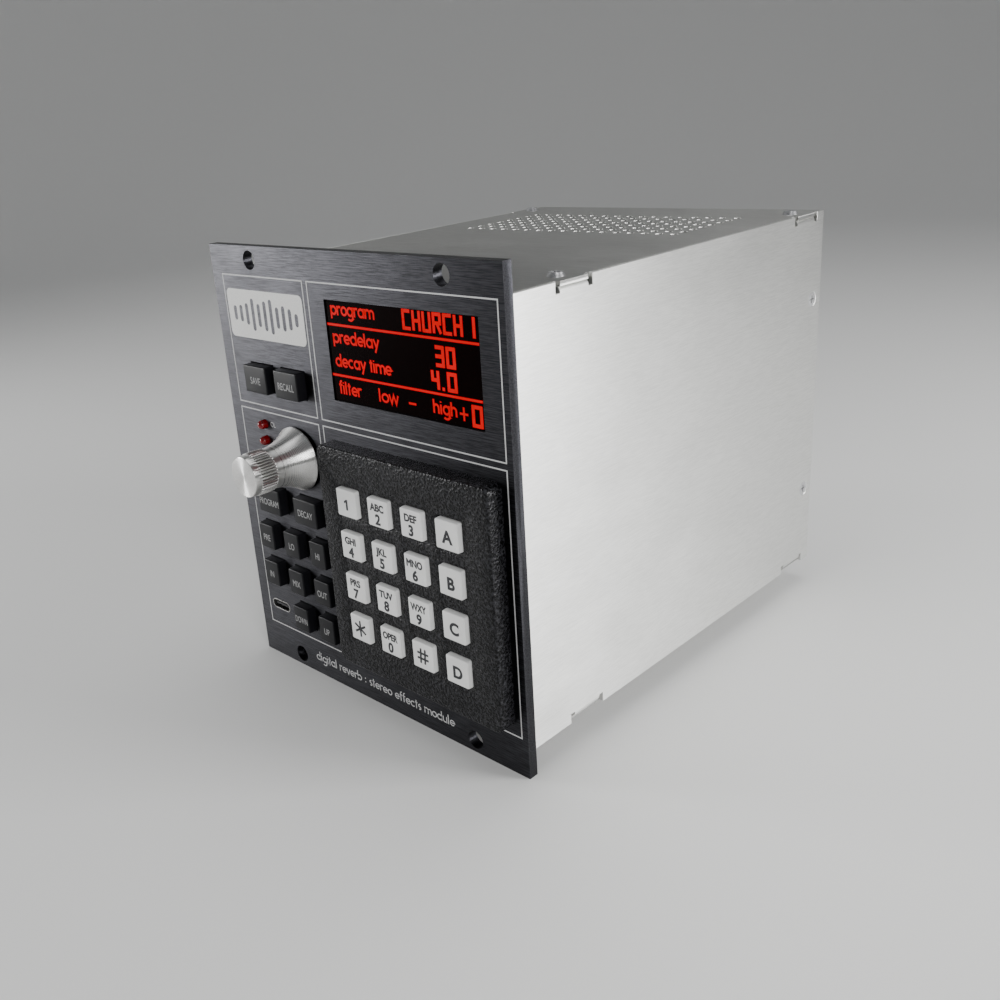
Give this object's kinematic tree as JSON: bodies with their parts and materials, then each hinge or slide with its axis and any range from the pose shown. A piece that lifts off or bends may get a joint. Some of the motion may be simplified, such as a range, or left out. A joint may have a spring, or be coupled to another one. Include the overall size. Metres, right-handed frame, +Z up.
{
  "type": "rack effects unit",
  "caption": "Plug-in digital reverb module for a card frame: flat front panel with display window, turned knob, push buttons and keypad, vented sheet-metal box and card-edge tongues behind.",
  "frame": {"origin": "centre of the four mounting holes, on the rear face of the front panel", "axes": "+X right seen from the front, the panel faces -Y, +Z up"},
  "size_m": [0.1142, 0.1792, 0.1334],
  "materials": {
    "key_white": "satin moulded plastic with printed legends",
    "button_black": "satin moulded plastic with printed labels",
    "knob_aluminium": "turned and polished, knurled band",
    "dark_metal": "blackened steel",
    "steel": "bright zinc-plated",
    "panel_anodised": "dark anodised, brushed across, white screen print",
    "window_black": "smoked acrylic, gloss",
    "white_plastic": "matte moulded plastic",
    "board_green": "solder mask over glass laminate",
    "black_plastic": "moulded plastic",
    "lamp_red": "red clear plastic",
    "socket_steel": "nickel-plated steel shell",
    "bezel_plastic": "moulded plastic with a leather-like grain",
    "mat_rubber": "silicone rubber",
    "sheet_aluminium": "brushed sheet",
    "contact_gold": "gold-plated"
  },
  "bodies": {
    "chassis": {"encoder_body": "dark_metal", "encoder_nut": "steel", "front_panel": "panel_anodised", "display_window": "window_black", "display_module": "white_plastic", "display_board": "board_green", "control_board": "board_green", "tact_switches": "black_plastic", "level_leds": "lamp_red", "usb_socket": "socket_steel", "keypad_bezel": "bezel_plastic", "keypad_mat": "mat_rubber", "keypad_board": "board_green", "keypad_screws": "steel", "left_side_plate": "sheet_aluminium", "right_side_plate": "sheet_aluminium", "top_cover": "sheet_aluminium", "bottom_cover": "sheet_aluminium", "rear_panel": "sheet_aluminium", "corner_brackets": "steel", "panel_studs": "steel", "stud_nuts": "steel", "cover_screws": "steel", "rear_screws": "steel", "main_board": "board_green", "aux_board": "board_green", "edge_contacts": "contact_gold", "board_parts": "black_plastic", "board_brackets": "steel"},
    "key_1": {"key_1": "key_white"},
    "key_2": {"key_2": "key_white"},
    "key_3": {"key_3": "key_white"},
    "key_a": {"key_a": "key_white"},
    "key_4": {"key_4": "key_white"},
    "key_5": {"key_5": "key_white"},
    "key_6": {"key_6": "key_white"},
    "key_b": {"key_b": "key_white"},
    "key_7": {"key_7": "key_white"},
    "key_8": {"key_8": "key_white"},
    "key_9": {"key_9": "key_white"},
    "key_c": {"key_c": "key_white"},
    "key_star": {"key_star": "key_white"},
    "key_0": {"key_0": "key_white"},
    "key_hash": {"key_hash": "key_white"},
    "key_d": {"key_d": "key_white"},
    "save_button": {"save_button": "button_black"},
    "recall_button": {"recall_button": "button_black"},
    "program_button": {"program_button": "button_black"},
    "decay_button": {"decay_button": "button_black"},
    "pre_button": {"pre_button": "button_black"},
    "lo_button": {"lo_button": "button_black"},
    "hi_button": {"hi_button": "button_black"},
    "in_button": {"in_button": "button_black"},
    "mix_button": {"mix_button": "button_black"},
    "out_button": {"out_button": "button_black"},
    "down_button": {"down_button": "button_black"},
    "up_button": {"up_button": "button_black"},
    "control_knob": {"knob": "knob_aluminium", "knob_set_screw": "dark_metal", "encoder_shaft": "steel"}
  },
  "joints": [
    {"name": "key_1_press", "type": "slide", "parent": "chassis", "child": "key_1", "axis": [0, 1, 0], "range_m": [0, 0.001], "stiffness_N_per_m": 250},
    {"name": "key_2_press", "type": "slide", "parent": "chassis", "child": "key_2", "axis": [0, 1, 0], "range_m": [0, 0.001], "stiffness_N_per_m": 250},
    {"name": "key_3_press", "type": "slide", "parent": "chassis", "child": "key_3", "axis": [0, 1, 0], "range_m": [0, 0.001], "stiffness_N_per_m": 250},
    {"name": "key_a_press", "type": "slide", "parent": "chassis", "child": "key_a", "axis": [0, 1, 0], "range_m": [0, 0.001], "stiffness_N_per_m": 250},
    {"name": "key_4_press", "type": "slide", "parent": "chassis", "child": "key_4", "axis": [0, 1, 0], "range_m": [0, 0.001], "stiffness_N_per_m": 250},
    {"name": "key_5_press", "type": "slide", "parent": "chassis", "child": "key_5", "axis": [0, 1, 0], "range_m": [0, 0.001], "stiffness_N_per_m": 250},
    {"name": "key_6_press", "type": "slide", "parent": "chassis", "child": "key_6", "axis": [0, 1, 0], "range_m": [0, 0.001], "stiffness_N_per_m": 250},
    {"name": "key_b_press", "type": "slide", "parent": "chassis", "child": "key_b", "axis": [0, 1, 0], "range_m": [0, 0.001], "stiffness_N_per_m": 250},
    {"name": "key_7_press", "type": "slide", "parent": "chassis", "child": "key_7", "axis": [0, 1, 0], "range_m": [0, 0.001], "stiffness_N_per_m": 250},
    {"name": "key_8_press", "type": "slide", "parent": "chassis", "child": "key_8", "axis": [0, 1, 0], "range_m": [0, 0.001], "stiffness_N_per_m": 250},
    {"name": "key_9_press", "type": "slide", "parent": "chassis", "child": "key_9", "axis": [0, 1, 0], "range_m": [0, 0.001], "stiffness_N_per_m": 250},
    {"name": "key_c_press", "type": "slide", "parent": "chassis", "child": "key_c", "axis": [0, 1, 0], "range_m": [0, 0.001], "stiffness_N_per_m": 250},
    {"name": "key_star_press", "type": "slide", "parent": "chassis", "child": "key_star", "axis": [0, 1, 0], "range_m": [0, 0.001], "stiffness_N_per_m": 250},
    {"name": "key_0_press", "type": "slide", "parent": "chassis", "child": "key_0", "axis": [0, 1, 0], "range_m": [0, 0.001], "stiffness_N_per_m": 250},
    {"name": "key_hash_press", "type": "slide", "parent": "chassis", "child": "key_hash", "axis": [0, 1, 0], "range_m": [0, 0.001], "stiffness_N_per_m": 250},
    {"name": "key_d_press", "type": "slide", "parent": "chassis", "child": "key_d", "axis": [0, 1, 0], "range_m": [0, 0.001], "stiffness_N_per_m": 250},
    {"name": "save_button_press", "type": "slide", "parent": "chassis", "child": "save_button", "axis": [0, 1, 0], "range_m": [0, 0.0008], "stiffness_N_per_m": 400},
    {"name": "recall_button_press", "type": "slide", "parent": "chassis", "child": "recall_button", "axis": [0, 1, 0], "range_m": [0, 0.0008], "stiffness_N_per_m": 400},
    {"name": "program_button_press", "type": "slide", "parent": "chassis", "child": "program_button", "axis": [0, 1, 0], "range_m": [0, 0.0008], "stiffness_N_per_m": 400},
    {"name": "decay_button_press", "type": "slide", "parent": "chassis", "child": "decay_button", "axis": [0, 1, 0], "range_m": [0, 0.0008], "stiffness_N_per_m": 400},
    {"name": "pre_button_press", "type": "slide", "parent": "chassis", "child": "pre_button", "axis": [0, 1, 0], "range_m": [0, 0.0008], "stiffness_N_per_m": 400},
    {"name": "lo_button_press", "type": "slide", "parent": "chassis", "child": "lo_button", "axis": [0, 1, 0], "range_m": [0, 0.0008], "stiffness_N_per_m": 400},
    {"name": "hi_button_press", "type": "slide", "parent": "chassis", "child": "hi_button", "axis": [0, 1, 0], "range_m": [0, 0.0008], "stiffness_N_per_m": 400},
    {"name": "in_button_press", "type": "slide", "parent": "chassis", "child": "in_button", "axis": [0, 1, 0], "range_m": [0, 0.0008], "stiffness_N_per_m": 400},
    {"name": "mix_button_press", "type": "slide", "parent": "chassis", "child": "mix_button", "axis": [0, 1, 0], "range_m": [0, 0.0008], "stiffness_N_per_m": 400},
    {"name": "out_button_press", "type": "slide", "parent": "chassis", "child": "out_button", "axis": [0, 1, 0], "range_m": [0, 0.0008], "stiffness_N_per_m": 400},
    {"name": "down_button_press", "type": "slide", "parent": "chassis", "child": "down_button", "axis": [0, 1, 0], "range_m": [0, 0.0008], "stiffness_N_per_m": 400},
    {"name": "up_button_press", "type": "slide", "parent": "chassis", "child": "up_button", "axis": [0, 1, 0], "range_m": [0, 0.0008], "stiffness_N_per_m": 400},
    {"name": "knob_turn", "type": "hinge", "parent": "chassis", "child": "control_knob", "pos_m": [-0.0261, -0.003, 0.0062], "axis": [0, -1, 0], "continuous": true}
  ]
}
